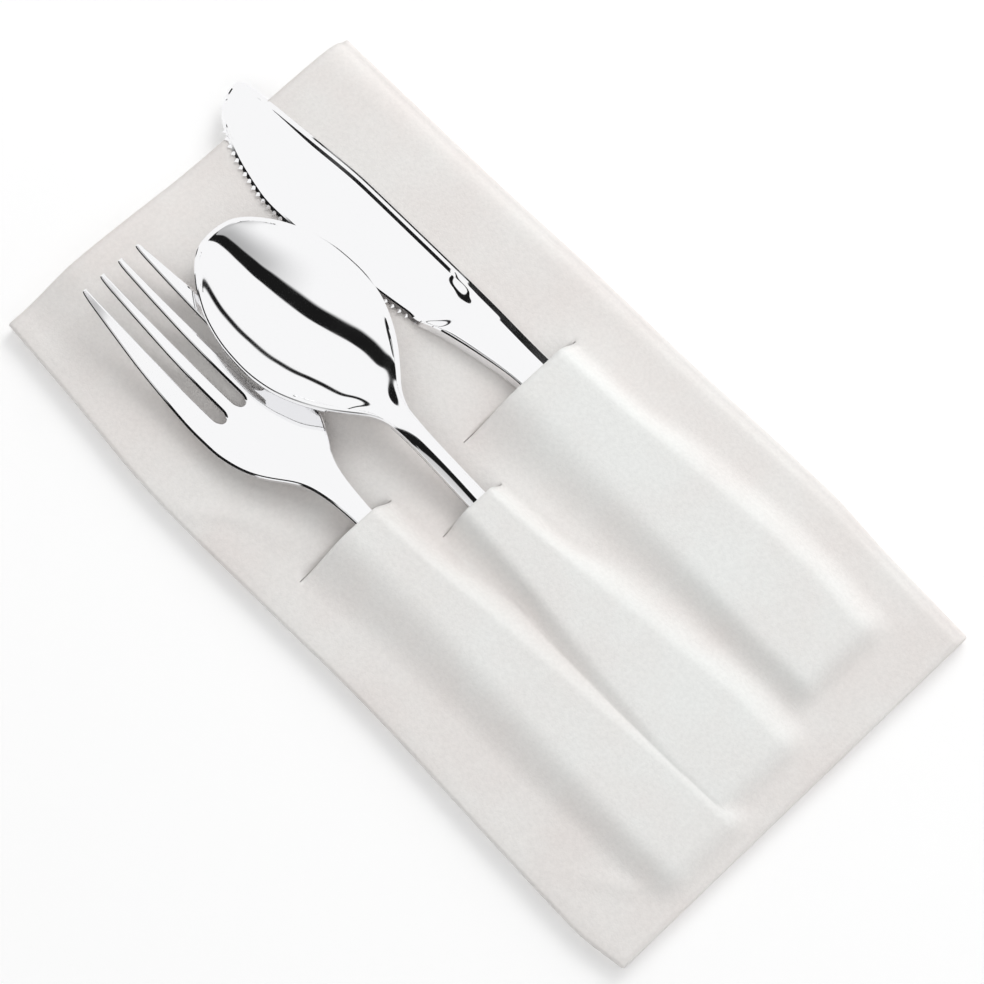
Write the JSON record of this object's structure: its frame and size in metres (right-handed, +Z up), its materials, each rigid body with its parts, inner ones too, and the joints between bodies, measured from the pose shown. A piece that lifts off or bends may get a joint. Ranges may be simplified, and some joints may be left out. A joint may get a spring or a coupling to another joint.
{
  "type": "plastic cutlery pack",
  "caption": "Silver-look plastic fork, spoon and knife held in a white pocket-folded paper dinner napkin.",
  "frame": {"origin": "on the surface the pack lies on, under the middle of its bounding box", "axes": "+Z up, +Y along the handles towards the tines, the bowl and the blade's tip, +X towards the knife's side"},
  "size_m": [0.1144, 0.2162, 0.0143],
  "materials": {
    "napkin_paper": "soft, matt, linen-feel airlaid paper",
    "fork_silver": "mirror-bright silver metallising on moulded polystyrene",
    "spoon_silver": "mirror-bright silver metallising on moulded polystyrene",
    "knife_silver": "mirror-bright silver metallising on moulded polystyrene"
  },
  "bodies": {
    "root": {"napkin": "napkin_paper", "fork": "fork_silver", "spoon": "spoon_silver", "knife": "knife_silver"}
  },
  "joints": []
}
